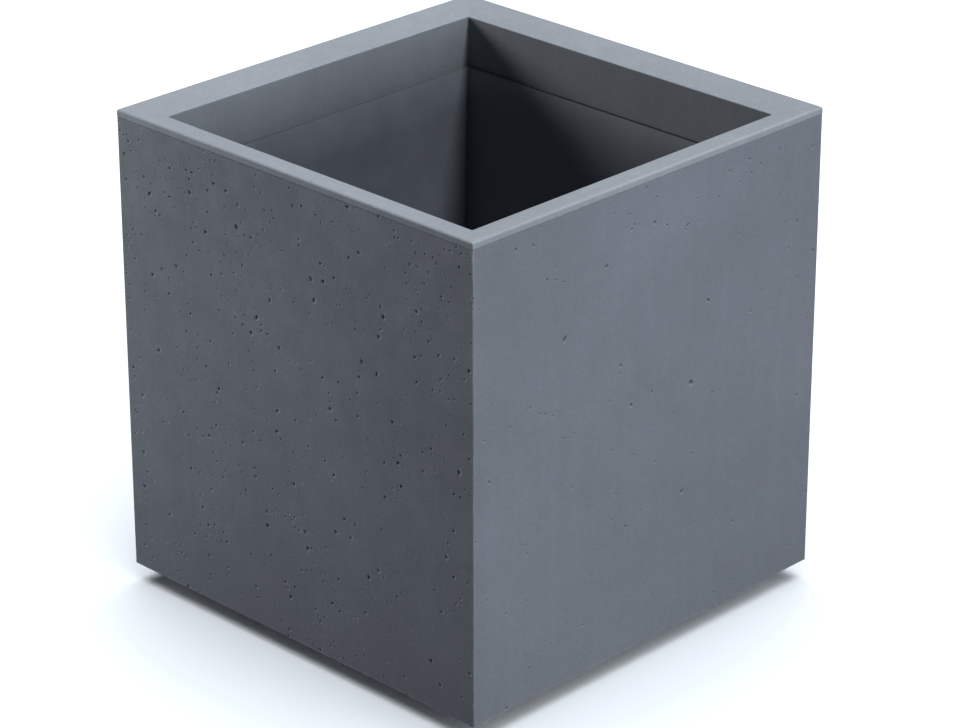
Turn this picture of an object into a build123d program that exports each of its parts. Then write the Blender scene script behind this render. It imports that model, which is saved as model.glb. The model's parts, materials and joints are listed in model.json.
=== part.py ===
from build123d import *
import os

os.makedirs("parts", exist_ok=True)

# Square concrete planter on a recessed plinth, millimetres.
# +Z is up, the origin is on the floor below the middle of the box, and the front face looks along -Y.

# --- overall ---
outer_width = 500  # across the faces, both ways
overall_height = 530  # floor to the outer edge of the rim
shadow_gap = 20  # floor to the bottom edge of the panels

# --- concrete ---
panel_thickness = 15
corner_arris = 1.5  # small flat on the sharp outer corners
fascia_height = 8.5  # upright outer face of the rim
rim_fall = 9  # the top of the rim falls inward by this much
fascia_rounding = 2.5
mouth_corner_radius = 5
band_depth = 55  # mouth edge down to the top of the liner
liner_lap = 7  # the collar goes on down behind the liner

# --- welded tube frame ---
tube_size = 20
tube_wall = 2
tube_rounding = 2.5
frame_setback = 1  # the tubes stay this far behind the collar's inner face

# --- floor ---
board_thickness = 12
floor_insulation_thickness = 20

# --- liner ---
liner_sheet = 1.5
liner_clearance = 1.5
lug_leg = 70
lug_thickness = 3
lug_drop = 6  # lug's top face below the liner's top edge
lug_eye_radius = 10
lug_eye_inset = 25  # from both liner walls

# --- drain ---
spigot_radius = 17
spigot_wall = 3
drain_clearance = 3  # round the spigot, in the board and in the insulation
running_clearance = 0.05  # radial, of every thread and its hole
plug_head_inset = 1  # flats of the plug's head inside the spigot's outline
plug_head_height = 8
gasket_thickness = 2
plug_shank_length = 12  # above the spigot's foot
strainer_flange_radius = 45
strainer_sheet = 1.5
strainer_cup_radius = 22
strainer_cup_height = 20
strainer_skirt_length = 12
strainer_skirt_clearance = 0.6
strainer_slot_width = 3
strainer_slot_margin = 3.5  # cup left above and below a slot
strainer_slot_count = 16
strainer_pore_radius = 1.5
strainer_pore_margin = 8  # pore centres in from the cup's outside
strainer_pore_count = 10
knob_radius = 7
knob_height = 9
knob_neck_radius = 3.5
knob_neck_height = 4

# --- plinth and feet ---
plinth_inset = 65  # panel face to the plinth's outer side
plinth_width = 40
plinth_sheet = 2
plinth_lift = 6  # floor to the plinth's lower edge
pad_clearance = 1
sole_height = 3
stud_radius = 4.95  # M10
pad_floor = 1.5  # pad left between the stud's socket and the sole
stud_cover = 4  # between the stud's tip and the top of the base board
stud_hex_across_flats = 14
stud_hex_height = 4
stud_hex_gap = 1  # retracted stud's hexagon to the lock nut
stud_hole_clearance = 1
bush_wall = 3
lock_nut_across_flats = 17
lock_nut_height = 5

# --- screws ---
thread_radius = 2.45  # M5
screw_hole_radius = 2.75
screw_head_radius = 4.75
screw_head_height = 2.8
head_access_radius = 6
insert_radius = 4
insert_cover = 5  # concrete left between an insert and the face
panel_screw_spacing = 240
collar_screw_spacing = 120
board_screw_inset = 45  # from a foot's middle, along the bar
board_screw_length = 20
plinth_screw_length = 12
anchor_spacing = 120
anchor_hole_radius = 4.5
anchor_access_radius = 10

# --- worked out from the values above ---
half_width = outer_width / 2
panel_inside = half_width - panel_thickness
frame_inside = panel_inside - tube_size
mouth_half = frame_inside - frame_setback
liner_outside = mouth_half - liner_clearance
liner_inside = liner_outside - liner_sheet
tube_middle = panel_inside - tube_size / 2
insert_length = panel_thickness - insert_cover

spigot_bore_radius = spigot_radius - spigot_wall
plug_head_across_flats = 2 * (spigot_radius - plug_head_inset)
drain_opening_radius = spigot_radius + drain_clearance
bush_radius = stud_radius + running_clearance + bush_wall

fascia_foot = overall_height - fascia_height
mouth_edge = overall_height - rim_fall
liner_top = mouth_edge - band_depth
collar_foot = liner_top - liner_lap
top_rail_middle = collar_foot - tube_size / 2
bottom_rail_middle = shadow_gap + tube_size / 2
board_level = shadow_gap + tube_size
board_top = board_level + board_thickness
liner_level = board_top + floor_insulation_thickness
liner_floor = liner_level + liner_sheet

foot_place = half_width - plinth_inset - plinth_width / 2
board_screw_place = foot_place - board_screw_inset
plinth_screw_place = (foot_place + anchor_spacing / 2) / 2  # midway between a foot and an anchor
plinth_outside = half_width - plinth_inset
plinth_inside = plinth_outside - plinth_width
lock_nut_level = shadow_gap - plinth_sheet - lock_nut_height
stud_hex_level = lock_nut_level - stud_hex_gap - stud_hex_height
stud_foot = sole_height + pad_floor
pad_radius = plinth_width / 2 - plinth_sheet - pad_clearance
stud_top = board_top - stud_cover
spigot_foot = shadow_gap + plug_head_height + gasket_thickness

side_turns = {"front": 0, "right": 90, "back": 180, "left": 270}
corners = {
    "front_left": (-foot_place, -foot_place),
    "front_right": (foot_place, -foot_place),
    "back_right": (foot_place, foot_place),
    "back_left": (-foot_place, foot_place),
}


def save(piece, name):
    """Label a finished piece and write its STEP file."""
    piece.part.label = name
    export_step(piece.part, f"parts/{name}.step")


def spread(spacing):
    """Two places along a side, evenly about its middle."""
    return (-spacing / 2, spacing / 2)


def turned(piece):
    """The same piece on all four sides, turned about the planter's axis."""
    return [piece.part.rotate(Axis.Z, turn) for turn in side_turns.values()]


# ---------------------------------------------------------------- concrete panels
# The front panel has mitred ends. The others are the same panel turned about the planter's axis.
panel_outline = [
    (-half_width + corner_arris, -half_width),
    (half_width - corner_arris, -half_width),
    (half_width - corner_arris / 2, -half_width + corner_arris / 2),
    (panel_inside, -panel_inside),
    (-panel_inside, -panel_inside),
    (-half_width + corner_arris / 2, -half_width + corner_arris / 2),
]
rail_levels = (bottom_rail_middle, top_rail_middle)

with BuildPart() as front_panel:
    with BuildSketch(Plane.XY.offset(shadow_gap)):
        with BuildLine():
            Polyline(*panel_outline, close=True)
        make_face()
    extrude(amount=fascia_foot - shadow_gap)
    bottom_edges = front_panel.edges().filter_by(Axis.X).group_by(Axis.Z)[0]
    chamfer(bottom_edges.sort_by(Axis.Y)[0], corner_arris)
    with BuildSketch(Plane.XZ.offset(panel_inside)):
        with Locations(*[(x, z) for x in spread(panel_screw_spacing) for z in rail_levels]):
            Circle(insert_radius)
    extrude(amount=insert_length, mode=Mode.SUBTRACT)

for side, turn in side_turns.items():
    with BuildPart() as panel:
        add(front_panel.part, rotation=(0, 0, turn))
    save(panel, f"panel_{side}")

# ---------------------------------------------------------------- rim collar
# A cast ring: it lies on the panels' top edges and on the top rails.
collar_height = overall_height - collar_foot
collar_insert_top = collar_foot + insert_length

with BuildPart() as rim_collar:
    with BuildSketch(Plane.XY.offset(collar_foot)):
        Rectangle(2 * panel_inside, 2 * panel_inside)
    extrude(amount=collar_height)
    with BuildSketch(Plane.XY.offset(fascia_foot)):
        Rectangle(outer_width, outer_width)
    extrude(amount=fascia_height)
    with BuildSketch(Plane.XY.offset(collar_foot)):
        RectangleRounded(2 * mouth_half, 2 * mouth_half, mouth_corner_radius)
    extrude(amount=collar_height, mode=Mode.SUBTRACT)
    with BuildSketch(Plane.XY.offset(overall_height)):
        Rectangle(outer_width, outer_width)
    with BuildSketch(Plane.XY.offset(mouth_edge)):
        Rectangle(2 * mouth_half, 2 * mouth_half)
    loft(mode=Mode.SUBTRACT)
    fillet(rim_collar.edges().group_by(Axis.Z)[-1], fascia_rounding)
    fascia_corners = rim_collar.edges().filter_by(Axis.Z).group_by(SortBy.LENGTH)[0]
    chamfer(fascia_corners, corner_arris / 2)
    with BuildSketch(Plane.XY.offset(collar_foot)):
        with PolarLocations(0, 4):
            with Locations(*[(tube_middle, y) for y in spread(collar_screw_spacing)]):
                Circle(insert_radius)
    extrude(amount=insert_length, mode=Mode.SUBTRACT)

save(rim_collar, "rim_collar")

# ---------------------------------------------------------------- cast-in sockets and their screws
# A socket is drawn at the front's inner face, pointing out; a screw's head sits inside the tube, on its outer wall.
head_face = panel_inside - tube_wall

with BuildPart() as front_inserts:
    with BuildSketch(Plane.XZ.offset(panel_inside)):
        with Locations(*[(x, z) for x in spread(panel_screw_spacing) for z in rail_levels]):
            Circle(insert_radius)
            Circle(thread_radius + running_clearance, mode=Mode.SUBTRACT)
    extrude(amount=insert_length)

with BuildPart() as panel_inserts:
    add(turned(front_inserts))
save(panel_inserts, "panel_inserts")

with BuildPart() as front_screws:
    with BuildSketch(Plane.XZ.offset(head_face)):
        with Locations(*[(x, z) for x in spread(panel_screw_spacing) for z in rail_levels]):
            Circle(thread_radius)
    extrude(amount=tube_wall + insert_length)
    with BuildSketch(Plane.XZ.offset(head_face - screw_head_height)):
        with Locations(*[(x, z) for x in spread(panel_screw_spacing) for z in rail_levels]):
            Circle(screw_head_radius)
    extrude(amount=screw_head_height)

with BuildPart() as panel_screws:
    add(turned(front_screws))
save(panel_screws, "panel_screws")

with BuildPart() as collar_inserts:
    with BuildSketch(Plane.XY.offset(collar_foot)):
        with PolarLocations(0, 4):
            with Locations(*[(tube_middle, y) for y in spread(collar_screw_spacing)]):
                Circle(insert_radius)
                Circle(thread_radius + running_clearance, mode=Mode.SUBTRACT)
    extrude(amount=insert_length)
save(collar_inserts, "collar_inserts")

with BuildPart() as collar_screws:
    with BuildSketch(Plane.XY.offset(collar_foot - tube_wall)):
        with PolarLocations(0, 4):
            with Locations(*[(tube_middle, y) for y in spread(collar_screw_spacing)]):
                Circle(thread_radius)
    extrude(amount=tube_wall + insert_length)
    with BuildSketch(Plane.XY.offset(collar_foot - tube_wall)):
        with PolarLocations(0, 4):
            with Locations(*[(tube_middle, y) for y in spread(collar_screw_spacing)]):
                Circle(screw_head_radius)
    extrude(amount=-screw_head_height)
save(collar_screws, "collar_screws")

# ---------------------------------------------------------------- welded tube frame
tube_bore = tube_size - 2 * tube_wall


def square_tube(start, x_dir, z_dir, length):
    """A square tube that runs from a point along z_dir."""
    with BuildPart() as piece:
        with BuildSketch(Plane(start, x_dir=x_dir, z_dir=z_dir)):
            RectangleRounded(tube_size, tube_size, tube_rounding)
            Rectangle(tube_bore, tube_bore, mode=Mode.SUBTRACT)
        extrude(amount=length)
    return piece.part


def front_rail(reach, level):
    """A rail at the front, drilled for the panel screws: their heads go in through the inner wall."""
    blank = square_tube((-reach, -tube_middle, level), (0, 1, 0), (1, 0, 0), 2 * reach)
    with BuildPart() as rail:
        add(blank)
        with BuildSketch(Plane.XZ.offset(panel_inside)):
            with Locations(*[(x, level) for x in spread(panel_screw_spacing)]):
                Circle(screw_hole_radius)
        extrude(amount=-tube_wall, mode=Mode.SUBTRACT)
        with BuildSketch(Plane.XZ.offset(frame_inside)):
            with Locations(*[(x, level) for x in spread(panel_screw_spacing)]):
                Circle(head_access_radius)
        extrude(amount=tube_wall, mode=Mode.SUBTRACT)
    return rail.part


# Front and back rails run the full width, and the side rails fit between them.
for side, turn in side_turns.items():
    reach = panel_inside if side in ("front", "back") else frame_inside
    blank = front_rail(reach, bottom_rail_middle)
    with BuildPart() as bottom_rail:
        add(blank, rotation=(0, 0, turn))
    save(bottom_rail, f"bottom_rail_{side}")

    blank = front_rail(reach, top_rail_middle)
    with BuildPart() as top_rail:
        add(blank, rotation=(0, 0, turn))
        with BuildSketch(Plane.XY.rotated((0, 0, turn)).offset(collar_foot)):
            with Locations(*[(x, -tube_middle) for x in spread(collar_screw_spacing)]):
                Circle(screw_hole_radius)
        extrude(amount=-tube_wall, mode=Mode.SUBTRACT)
        with BuildSketch(Plane.XY.rotated((0, 0, turn)).offset(collar_foot - tube_size)):
            with Locations(*[(x, -tube_middle) for x in spread(collar_screw_spacing)]):
                Circle(head_access_radius)
        extrude(amount=tube_wall, mode=Mode.SUBTRACT)
    save(top_rail, f"top_rail_{side}")

post_height = collar_foot - tube_size - board_level
for corner, (x, y) in corners.items():
    post_x = tube_middle if x > 0 else -tube_middle
    post_y = tube_middle if y > 0 else -tube_middle
    blank = square_tube((post_x, post_y, board_level), (1, 0, 0), (0, 0, 1), post_height)
    with BuildPart() as corner_post:
        add(blank)
    save(corner_post, f"corner_post_{corner}")

# Two cross bars carry the feet. Their holes take the feet's bushes and the ground anchors.
for name, y in (("front", -foot_place), ("back", foot_place)):
    blank = square_tube((-frame_inside, y, bottom_rail_middle), (0, 1, 0), (1, 0, 0), 2 * frame_inside)
    with BuildPart() as cross_bar:
        add(blank)
        with BuildSketch(Plane.XY.offset(shadow_gap)):
            with Locations((-foot_place, y), (foot_place, y)):
                Circle(bush_radius)
            with Locations(*[(x, y) for x in spread(anchor_spacing)]):
                Circle(anchor_hole_radius)
        extrude(amount=tube_size, mode=Mode.SUBTRACT)
        with BuildSketch(Plane.XY.offset(shadow_gap)):
            with Locations((-plinth_screw_place, y), (plinth_screw_place, y)):
                Circle(thread_radius + running_clearance)
        extrude(amount=tube_wall, mode=Mode.SUBTRACT)
        with BuildSketch(Plane.XY.offset(board_level)):
            with Locations((-board_screw_place, y), (board_screw_place, y)):
                Circle(thread_radius + running_clearance)
        extrude(amount=-tube_wall, mode=Mode.SUBTRACT)
    save(cross_bar, f"cross_bar_{name}")

# ---------------------------------------------------------------- base board and insulation
board_screw_places = [(x, y) for x in (-board_screw_place, board_screw_place) for y in (-foot_place, foot_place)]
anchor_places = [(x, y) for x in spread(anchor_spacing) for y in (-foot_place, foot_place)]
post_places = [(x, y) for x in (-tube_middle, tube_middle) for y in (-tube_middle, tube_middle)]
stud_hole_radius = stud_radius + stud_hole_clearance

with BuildPart() as base_board:
    with BuildSketch(Plane.XY.offset(board_level)):
        Rectangle(2 * panel_inside, 2 * panel_inside)
        with Locations(*post_places):
            Rectangle(tube_size, tube_size, mode=Mode.SUBTRACT)
        with Locations(*corners.values()):
            Circle(stud_hole_radius, mode=Mode.SUBTRACT)
        with Locations(*anchor_places):
            Circle(anchor_access_radius, mode=Mode.SUBTRACT)
        Circle(drain_opening_radius, mode=Mode.SUBTRACT)
    extrude(amount=board_thickness)
    with Locations(*[(x, y, board_top) for x, y in board_screw_places]):
        CounterSinkHole(screw_hole_radius, screw_head_radius, counter_sink_angle=90)
save(base_board, "base_board")

insulation_height = collar_foot - tube_size - board_top
with BuildPart() as front_insulation:
    with BuildSketch(Plane.XY.offset(board_top)):
        with Locations((0, -tube_middle)):
            Rectangle(2 * frame_inside, tube_size)
    extrude(amount=insulation_height)
for side, turn in side_turns.items():
    with BuildPart() as side_insulation:
        add(front_insulation.part, rotation=(0, 0, turn))
    save(side_insulation, f"side_insulation_{side}")

with BuildPart() as floor_insulation:
    with BuildSketch(Plane.XY.offset(board_top)):
        Rectangle(2 * frame_inside, 2 * frame_inside)
        Circle(drain_opening_radius, mode=Mode.SUBTRACT)
    extrude(amount=floor_insulation_thickness)
save(floor_insulation, "floor_insulation")

with BuildPart() as board_screws:
    with BuildSketch(Plane.XY.offset(board_top)):
        with Locations(*board_screw_places):
            Circle(thread_radius)
    extrude(amount=-board_screw_length)
    with Locations(*[(x, y, board_top) for x, y in board_screw_places]):
        Cone(
            thread_radius,
            screw_head_radius,
            screw_head_radius - thread_radius,
            align=(Align.CENTER, Align.CENTER, Align.MAX),
        )
save(board_screws, "board_screws")

# ---------------------------------------------------------------- plinth
# A folded channel ring, open below, that hides the feet.
plinth_screw_places = [(x, y) for x in (-plinth_screw_place, plinth_screw_place) for y in (-foot_place, foot_place)]

with BuildPart() as plinth_ring:
    with BuildSketch(Plane.XY.offset(plinth_lift)):
        Rectangle(2 * plinth_outside, 2 * plinth_outside)
        Rectangle(2 * plinth_inside, 2 * plinth_inside, mode=Mode.SUBTRACT)
    extrude(amount=shadow_gap - plinth_lift)
    with BuildSketch(Plane.XY.offset(plinth_lift)):
        Rectangle(2 * (plinth_outside - plinth_sheet), 2 * (plinth_outside - plinth_sheet))
        Rectangle(2 * (plinth_inside + plinth_sheet), 2 * (plinth_inside + plinth_sheet), mode=Mode.SUBTRACT)
    extrude(amount=shadow_gap - plinth_sheet - plinth_lift, mode=Mode.SUBTRACT)
    with BuildSketch(Plane.XY.offset(shadow_gap)):
        with Locations(*corners.values()):
            Circle(stud_hole_radius)
        with Locations(*anchor_places):
            Circle(anchor_hole_radius)
        with Locations(*plinth_screw_places):
            Circle(screw_hole_radius)
    extrude(amount=-plinth_sheet, mode=Mode.SUBTRACT)
save(plinth_ring, "plinth_ring")

with BuildPart() as plinth_screws:
    with BuildSketch(Plane.XY.offset(shadow_gap - plinth_sheet)):
        with Locations(*plinth_screw_places):
            Circle(thread_radius)
    extrude(amount=plinth_screw_length)
    with BuildSketch(Plane.XY.offset(shadow_gap - plinth_sheet)):
        with Locations(*plinth_screw_places):
            Circle(screw_head_radius)
    extrude(amount=-screw_head_height)
save(plinth_screws, "plinth_screws")

# ---------------------------------------------------------------- levelling feet
with BuildPart() as foot_bushes:
    with BuildSketch(Plane.XY.offset(shadow_gap)):
        with Locations(*corners.values()):
            Circle(bush_radius)
            Circle(stud_radius + running_clearance, mode=Mode.SUBTRACT)
    extrude(amount=tube_size)
save(foot_bushes, "foot_bushes")

with BuildPart() as foot_lock_nuts:
    with BuildSketch(Plane.XY.offset(lock_nut_level)):
        with Locations(*corners.values()):
            RegularPolygon(lock_nut_across_flats / 2, 6, major_radius=False)
            Circle(stud_radius + running_clearance, mode=Mode.SUBTRACT)
    extrude(amount=lock_nut_height)
save(foot_lock_nuts, "foot_lock_nuts")

for corner, place in corners.items():
    with BuildPart() as foot_sole:
        with BuildSketch(Plane.XY):
            with Locations(place):
                Circle(pad_radius)
        extrude(amount=sole_height)
        chamfer(foot_sole.edges().group_by(Axis.Z)[0], sole_height / 4)
    save(foot_sole, f"foot_sole_{corner}")

    with BuildPart() as foot_pad:
        with BuildSketch(Plane.XY.offset(sole_height)):
            with Locations(place):
                Circle(pad_radius)
        extrude(amount=stud_hex_level - sole_height)
        chamfer(foot_pad.edges().group_by(Axis.Z)[-1], sole_height / 2)
        with BuildSketch(Plane.XY.offset(stud_hex_level)):
            with Locations(place):
                Circle(stud_radius + running_clearance)
        extrude(amount=stud_foot - stud_hex_level, mode=Mode.SUBTRACT)
    save(foot_pad, f"foot_pad_{corner}")

    with BuildPart() as foot_stud:
        with BuildSketch(Plane.XY.offset(stud_hex_level)):
            with Locations(place):
                RegularPolygon(stud_hex_across_flats / 2, 6, major_radius=False)
        extrude(amount=stud_hex_height)
        with BuildSketch(Plane.XY.offset(stud_foot)):
            with Locations(place):
                Circle(stud_radius)
        extrude(amount=stud_top - stud_foot)
        chamfer(foot_stud.edges().group_by(Axis.Z)[-1], stud_radius / 5)
    save(foot_stud, f"foot_stud_{corner}")

# ---------------------------------------------------------------- liner
with BuildPart() as liner_tub:
    with BuildSketch(Plane.XY.offset(liner_level)):
        Rectangle(2 * liner_outside, 2 * liner_outside)
    extrude(amount=liner_top - liner_level)
    with BuildSketch(Plane.XY.offset(liner_floor)):
        Rectangle(2 * liner_inside, 2 * liner_inside)
    extrude(amount=liner_top - liner_floor, mode=Mode.SUBTRACT)
    with BuildSketch(Plane.XY.offset(liner_level)):
        Circle(spigot_radius)
    extrude(amount=liner_sheet, mode=Mode.SUBTRACT)
save(liner_tub, "liner_tub")

# A gusset plate with a lifting eye in two opposite corners.
for corner, turn in (("front_left", 0), ("back_right", 180)):
    with BuildPart() as lug_at_front_left:
        with BuildSketch(Plane.XY.offset(liner_top - lug_drop)):
            with BuildLine():
                Polyline(
                    (-liner_inside, -liner_inside),
                    (-liner_inside + lug_leg, -liner_inside),
                    (-liner_inside, -liner_inside + lug_leg),
                    close=True,
                )
            make_face()
            with Locations((-liner_inside + lug_eye_inset, -liner_inside + lug_eye_inset)):
                Circle(lug_eye_radius, mode=Mode.SUBTRACT)
        extrude(amount=-lug_thickness)
    with BuildPart() as lifting_lug:
        add(lug_at_front_left.part, rotation=(0, 0, turn))
    save(lifting_lug, f"lifting_lug_{corner}")

with BuildPart() as drain_spigot:
    with BuildSketch(Plane.XY.offset(spigot_foot)):
        Circle(spigot_radius)
        Circle(spigot_bore_radius, mode=Mode.SUBTRACT)
    extrude(amount=liner_floor - spigot_foot)
save(drain_spigot, "drain_spigot")

# ---------------------------------------------------------------- drain plug
plug_radius = spigot_bore_radius - running_clearance

with BuildPart() as drain_plug:
    with BuildSketch(Plane.XY.offset(shadow_gap)):
        RegularPolygon(plug_head_across_flats / 2, 6, major_radius=False)
    extrude(amount=plug_head_height)
    with BuildSketch(Plane.XY.offset(shadow_gap + plug_head_height)):
        Circle(plug_radius)
    extrude(amount=gasket_thickness + plug_shank_length)
    chamfer(drain_plug.edges().group_by(Axis.Z)[-1], liner_sheet)
save(drain_plug, "drain_plug")

with BuildPart() as plug_gasket:
    with BuildSketch(Plane.XY.offset(spigot_foot)):
        Circle(plug_head_across_flats / 2)
        Circle(spigot_bore_radius, mode=Mode.SUBTRACT)
    extrude(amount=-gasket_thickness)
save(plug_gasket, "plug_gasket")

# ---------------------------------------------------------------- strainer
# A pressed cap over the drain: flange on the liner's floor, slotted cup above, skirt in the spigot.
skirt_radius = spigot_bore_radius - strainer_skirt_clearance
flange_top = liner_floor + strainer_sheet
cup_top = flange_top + strainer_cup_height
slot_height = strainer_cup_height - 2 * strainer_slot_margin

with BuildPart() as strainer:
    with BuildSketch(Plane.XY.offset(liner_floor)):
        Circle(strainer_flange_radius)
    extrude(amount=strainer_sheet)
    with BuildSketch(Plane.XY.offset(flange_top)):
        Circle(strainer_cup_radius)
    extrude(amount=strainer_cup_height)
    with BuildSketch(Plane.XY.offset(liner_floor)):
        Circle(skirt_radius)
    extrude(amount=-strainer_skirt_length)
    with BuildSketch(Plane.XY.offset(liner_floor - strainer_skirt_length)):
        Circle(skirt_radius - strainer_sheet)
    extrude(amount=strainer_skirt_length + strainer_sheet, mode=Mode.SUBTRACT)
    with BuildSketch(Plane.XY.offset(flange_top)):
        Circle(strainer_cup_radius - strainer_sheet)
    extrude(amount=strainer_cup_height - strainer_sheet, mode=Mode.SUBTRACT)
    with PolarLocations(strainer_cup_radius - strainer_sheet / 2, strainer_slot_count):
        with Locations((0, 0, (flange_top + cup_top) / 2)):
            Box(2 * strainer_sheet, strainer_slot_width, slot_height, mode=Mode.SUBTRACT)
    with BuildSketch(Plane.XY.offset(cup_top)):
        with PolarLocations(strainer_cup_radius - strainer_pore_margin, strainer_pore_count):
            Circle(strainer_pore_radius)
    extrude(amount=-strainer_sheet, mode=Mode.SUBTRACT)
save(strainer, "strainer")

with BuildPart() as strainer_knob:
    with BuildSketch(Plane.XY.offset(cup_top)):
        Circle(knob_neck_radius)
    extrude(amount=knob_neck_height)
    with BuildSketch(Plane.XY.offset(cup_top + knob_neck_height)):
        Circle(knob_radius)
    extrude(amount=knob_height)
    fillet(strainer_knob.edges().group_by(Axis.Z)[-1], knob_height / 4)
save(strainer_knob, "strainer_knob")
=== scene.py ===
import json
import math

import bmesh
import bpy
from mathutils import Matrix, Vector


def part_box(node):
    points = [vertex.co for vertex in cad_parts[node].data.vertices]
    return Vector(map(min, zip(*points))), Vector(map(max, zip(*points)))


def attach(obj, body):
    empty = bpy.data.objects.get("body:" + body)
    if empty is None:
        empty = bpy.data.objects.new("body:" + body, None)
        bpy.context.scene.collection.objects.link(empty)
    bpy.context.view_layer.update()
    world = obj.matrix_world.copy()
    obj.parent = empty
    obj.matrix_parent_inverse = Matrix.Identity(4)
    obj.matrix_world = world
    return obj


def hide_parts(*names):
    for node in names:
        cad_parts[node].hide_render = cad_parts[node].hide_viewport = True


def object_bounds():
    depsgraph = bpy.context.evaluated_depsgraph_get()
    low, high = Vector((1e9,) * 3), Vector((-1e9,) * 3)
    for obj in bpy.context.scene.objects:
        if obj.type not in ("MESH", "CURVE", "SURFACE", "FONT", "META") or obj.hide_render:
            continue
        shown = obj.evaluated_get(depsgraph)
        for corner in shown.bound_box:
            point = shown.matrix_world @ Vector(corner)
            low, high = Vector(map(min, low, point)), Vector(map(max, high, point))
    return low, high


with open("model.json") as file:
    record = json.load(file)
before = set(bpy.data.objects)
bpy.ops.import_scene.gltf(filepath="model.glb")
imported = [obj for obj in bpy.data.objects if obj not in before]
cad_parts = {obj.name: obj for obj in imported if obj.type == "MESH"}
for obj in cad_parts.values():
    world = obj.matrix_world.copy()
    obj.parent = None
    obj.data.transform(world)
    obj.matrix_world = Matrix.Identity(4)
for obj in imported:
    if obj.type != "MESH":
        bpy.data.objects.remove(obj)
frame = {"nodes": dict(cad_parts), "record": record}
cadLow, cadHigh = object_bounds()
print("frame loaded:", len(frame["nodes"]), "nodes")

sides = {"front": 0, "right": 90, "back": 180, "left": 270}
cornerNames = ("front_left", "front_right", "back_right", "back_left")


# View and light

view = {
    "aim": (0.01068, 0.01047, 0.248),
    "azimuth": 44.42,  # degrees round from the front
    "elevation": 24.31,
    "distance": 3.861,
    "lens": 138.95,
}


def viewDirection(azimuth, elevation):
    a, e = math.radians(azimuth), math.radians(elevation)
    return Vector((math.sin(a) * math.cos(e), -math.cos(a) * math.cos(e), math.sin(e)))


def aimAlong(thing, direction):
    thing.rotation_mode = "QUATERNION"
    thing.rotation_quaternion = direction.to_track_quat("-Z", "Y")


def addToScene(thing):
    bpy.context.scene.collection.objects.link(thing)


def makeCamera():
    back = viewDirection(view["azimuth"], view["elevation"])
    camera = bpy.data.objects.new("camera", bpy.data.cameras.new("camera"))
    addToScene(camera)
    camera.location = Vector(view["aim"]) + back * view["distance"]
    aimAlong(camera, -back)
    camera.data.lens = view["lens"]
    camera.data.sensor_width = 36
    camera.data.clip_start, camera.data.clip_end = 0.05, 60
    bpy.context.scene.camera = camera


studio = {
    "skyColour": (0.70, 0.80, 1.0),
    "skyStrength": 0.04,
    "floorColour": (0.84, 0.86, 0.89),
    "floorSize": 60,
}

# Suns say where they shine from, and cards stand at a place and look at the middle of the box.
suns = {
    "overheadKey": {
        "from": (0.225, 0.14, 1.0), "strength": 6.3, "angle": 14, "floor": False,
        "colour": (1.0, 1.0, 1.0)
    },
    "floorWash": {
        "from": (-0.06, 0.08, 1.0), "strength": 4.3, "angle": 74, "floor": True,
        "colour": (0.93, 0.965, 1.0)
    },
    "floorSide": {
        "from": (1.0, -0.15, 0.55), "strength": 1.6, "angle": 60, "floor": True,
        "colour": (0.95, 0.98, 1.0)
    },
}
cards = {
    "leftFill": {
        "at": (-1.8, -2.45, 1.25), "aim": 0.40, "power": 44, "size": 0.7,
        "colour": (1.0, 0.99, 0.98)
    },
    "leftCard": {
        "at": (-1.15, -1.0, 0.28), "aim": 0.30, "power": 8.5, "size": 0.5,
        "colour": (0.97, 0.99, 1.0)
    },
    "backCard": {
        "at": (-2.3, 2.3, 1.1), "aim": 0.25, "power": 16, "size": 1.2, "colour": (0.96, 0.98, 1.0)
    },
    "rightCard": {
        "at": (2.6, 0.25, 0.50), "aim": 0.38, "power": 61, "size": 0.8, "colour": (0.95, 0.97, 1.0)
    },
}


def linkLight(thing, floor, onlyFloor):
    receivers = bpy.data.collections.new(thing.name + "Receivers")
    receivers.objects.link(floor)
    if not onlyFloor:
        receivers.collection_objects[0].light_linking.link_state = "EXCLUDE"
    thing.light_linking.receiver_collection = receivers


def makeLights(floor):
    for name, look in suns.items():
        sun = bpy.data.lights.new(name, "SUN")
        sun.energy = look["strength"]
        sun.color = look["colour"]
        sun.angle = math.radians(look["angle"])
        thing = bpy.data.objects.new(name, sun)
        aimAlong(thing, -Vector(look["from"]).normalized())
        addToScene(thing)
        linkLight(thing, floor, look["floor"])

    for name, look in cards.items():
        card = bpy.data.lights.new(name, "AREA")
        card.energy = look["power"]
        card.size = look["size"]
        card.color = look["colour"]
        thing = bpy.data.objects.new(name, card)
        thing.location = look["at"]
        aimAlong(thing, Vector((0, 0, look["aim"])) - thing.location)
        addToScene(thing)
        linkLight(thing, floor, False)

    world = bpy.data.worlds.new("studio")
    bpy.context.scene.world = world
    world.use_nodes = True
    background = world.node_tree.nodes["Background"]
    background.inputs["Color"].default_value = (*studio["skyColour"], 1)
    background.inputs["Strength"].default_value = studio["skyStrength"]
    bpy.context.scene.view_settings.view_transform = "Standard"


# Small helpers for node trees and meshes

def put(tree, kind, inputs=None, **settings):
    node = tree.nodes.new(kind)
    for name, value in settings.items():
        setattr(node, name, value)
    for name, value in (inputs or {}).items():
        if isinstance(value, bpy.types.NodeSocket):
            tree.links.new(value, node.inputs[name])
        else:
            node.inputs[name].default_value = value
    return node


# The next three give a node's first output.
def geo(tree, kind, inputs=None, **settings):
    return put(tree, "GeometryNode" + kind, inputs, **settings).outputs[0]


def fun(tree, kind, inputs=None, **settings):
    return put(tree, "FunctionNode" + kind, inputs, **settings).outputs[0]


def sha(tree, kind, inputs=None, **settings):
    return put(tree, "ShaderNode" + kind, inputs, **settings).outputs[0]


def randomSize(tree, low, high, seed):
    inputs = {2: low, 3: high, "Seed": seed}
    return put(tree, "FunctionNodeRandomValue", inputs, data_type="FLOAT").outputs[1]


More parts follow.
